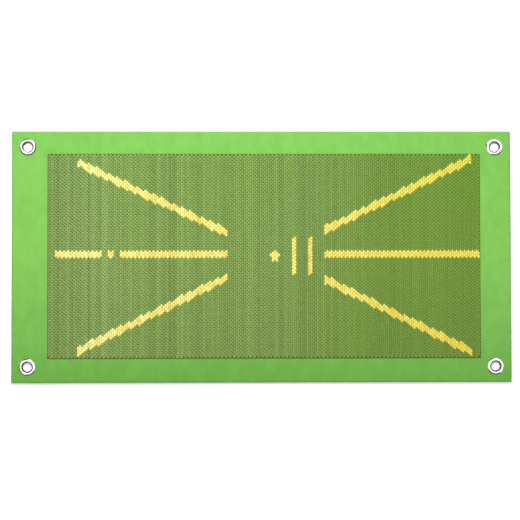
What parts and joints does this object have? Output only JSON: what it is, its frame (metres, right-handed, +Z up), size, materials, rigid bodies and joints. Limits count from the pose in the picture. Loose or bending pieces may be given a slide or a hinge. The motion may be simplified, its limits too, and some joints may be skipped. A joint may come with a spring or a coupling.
{
  "type": "golf swing trace mat",
  "caption": "Roll-up golf swing mat: a field of flip sequins shows the club's path, with swing lines, a ball star and gates, on a rubber base with corner eyelets.",
  "frame": {"origin": "centre of the underside, on the floor", "axes": "+X along the long side, towards the two gate lines' side; +Y across the mat, away from the front edge; +Z up from the floor"},
  "size_m": [0.6, 0.302, 0.0057],
  "materials": {
    "rubber": "matt, fine cloth texture",
    "cloth": "matt suede nap",
    "ground_cloth": "matt mesh",
    "thread": "satin thread",
    "green_sequin": "satin",
    "yellow_sequin": "satin",
    "nickel": "polished nickel plate"
  },
  "bodies": {
    "mat": {"rubber_base": "rubber", "cover_cloth": "cloth", "sequin_ground": "ground_cloth", "panel_seam": "thread", "column_threads": "thread", "green_sequins": "green_sequin", "left_upper_line": "yellow_sequin", "left_lower_line": "yellow_sequin", "left_centre_line_outer": "yellow_sequin", "left_centre_dot": "yellow_sequin", "left_centre_line_inner": "yellow_sequin", "right_upper_line": "yellow_sequin", "right_centre_line": "yellow_sequin", "right_lower_line": "yellow_sequin", "ball_star": "yellow_sequin", "gate_line_1": "yellow_sequin", "gate_line_2": "yellow_sequin", "eyelet_back_left": "nickel", "eyelet_back_right": "nickel", "eyelet_front_left": "nickel", "eyelet_front_right": "nickel", "washer_back_left": "nickel", "washer_back_right": "nickel", "washer_front_left": "nickel", "washer_front_right": "nickel"},
    "flip_column_01": {"flip_column_01": "green_sequin"},
    "flip_column_02": {"flip_column_02": "green_sequin"},
    "flip_column_03": {"flip_column_03": "green_sequin"},
    "flip_column_04": {"flip_column_04": "green_sequin"},
    "flip_column_05": {"flip_column_05": "green_sequin"},
    "flip_column_06": {"flip_column_06": "green_sequin"},
    "flip_column_07": {"flip_column_07": "green_sequin"},
    "flip_column_08": {"flip_column_08": "green_sequin"},
    "flip_column_09": {"flip_column_09": "green_sequin"},
    "flip_column_10": {"flip_column_10": "green_sequin"},
    "flip_column_11": {"flip_column_11": "green_sequin"},
    "flip_column_12": {"flip_column_12": "green_sequin"},
    "flip_column_13": {"flip_column_13": "green_sequin"},
    "flip_column_14": {"flip_column_14": "green_sequin"},
    "flip_column_15": {"flip_column_15": "green_sequin"},
    "flip_column_16": {"flip_column_16": "green_sequin"}
  },
  "joints": [
    {"name": "flip_01", "type": "hinge", "parent": "mat", "child": "flip_column_01", "pos_m": [-0.25631, 0, 0.00505], "axis": [0, -1, 0], "range_deg": [0, 162]},
    {"name": "flip_02", "type": "hinge", "parent": "mat", "child": "flip_column_02", "pos_m": [-0.25388, 0, 0.00505], "axis": [0, -1, 0], "range_deg": [0, 162]},
    {"name": "flip_03", "type": "hinge", "parent": "mat", "child": "flip_column_03", "pos_m": [-0.25145, 0, 0.00505], "axis": [0, -1, 0], "range_deg": [0, 162]},
    {"name": "flip_04", "type": "hinge", "parent": "mat", "child": "flip_column_04", "pos_m": [-0.24902, 0, 0.00505], "axis": [0, -1, 0], "range_deg": [0, 162]},
    {"name": "flip_05", "type": "hinge", "parent": "mat", "child": "flip_column_05", "pos_m": [-0.24659, 0, 0.00505], "axis": [0, -1, 0], "range_deg": [0, 162]},
    {"name": "flip_06", "type": "hinge", "parent": "mat", "child": "flip_column_06", "pos_m": [-0.24416, 0, 0.00505], "axis": [0, -1, 0], "range_deg": [0, 162]},
    {"name": "flip_07", "type": "hinge", "parent": "mat", "child": "flip_column_07", "pos_m": [-0.24173, 0, 0.00505], "axis": [0, -1, 0], "range_deg": [0, 162]},
    {"name": "flip_08", "type": "hinge", "parent": "mat", "child": "flip_column_08", "pos_m": [-0.2393, 0, 0.00505], "axis": [0, -1, 0], "range_deg": [0, 162]},
    {"name": "flip_09", "type": "hinge", "parent": "mat", "child": "flip_column_09", "pos_m": [-0.23687, 0, 0.00505], "axis": [0, -1, 0], "range_deg": [0, 162]},
    {"name": "flip_10", "type": "hinge", "parent": "mat", "child": "flip_column_10", "pos_m": [-0.23444, 0, 0.00505], "axis": [0, -1, 0], "range_deg": [0, 162]},
    {"name": "flip_11", "type": "hinge", "parent": "mat", "child": "flip_column_11", "pos_m": [-0.23201, 0, 0.00505], "axis": [0, -1, 0], "range_deg": [0, 162]},
    {"name": "flip_12", "type": "hinge", "parent": "mat", "child": "flip_column_12", "pos_m": [-0.22958, 0, 0.00505], "axis": [0, -1, 0], "range_deg": [0, 162]},
    {"name": "flip_13", "type": "hinge", "parent": "mat", "child": "flip_column_13", "pos_m": [-0.22715, 0, 0.00505], "axis": [0, -1, 0], "range_deg": [0, 162]},
    {"name": "flip_14", "type": "hinge", "parent": "mat", "child": "flip_column_14", "pos_m": [-0.22472, 0, 0.00505], "axis": [0, -1, 0], "range_deg": [0, 162]},
    {"name": "flip_15", "type": "hinge", "parent": "mat", "child": "flip_column_15", "pos_m": [-0.22229, 0, 0.00505], "axis": [0, -1, 0], "range_deg": [0, 162]},
    {"name": "flip_16", "type": "hinge", "parent": "mat", "child": "flip_column_16", "pos_m": [-0.21986, 0, 0.00505], "axis": [0, -1, 0], "range_deg": [0, 162]}
  ],
  "couplings": [
    {"joint": "flip_02", "follows": "flip_01", "ratio": 1},
    {"joint": "flip_03", "follows": "flip_01", "ratio": 1},
    {"joint": "flip_04", "follows": "flip_01", "ratio": 1},
    {"joint": "flip_05", "follows": "flip_01", "ratio": 1},
    {"joint": "flip_06", "follows": "flip_01", "ratio": 1},
    {"joint": "flip_07", "follows": "flip_01", "ratio": 1},
    {"joint": "flip_08", "follows": "flip_01", "ratio": 1},
    {"joint": "flip_09", "follows": "flip_01", "ratio": 1},
    {"joint": "flip_10", "follows": "flip_01", "ratio": 1},
    {"joint": "flip_11", "follows": "flip_01", "ratio": 1},
    {"joint": "flip_12", "follows": "flip_01", "ratio": 1},
    {"joint": "flip_13", "follows": "flip_01", "ratio": 1},
    {"joint": "flip_14", "follows": "flip_01", "ratio": 1},
    {"joint": "flip_15", "follows": "flip_01", "ratio": 1},
    {"joint": "flip_16", "follows": "flip_01", "ratio": 1}
  ]
}
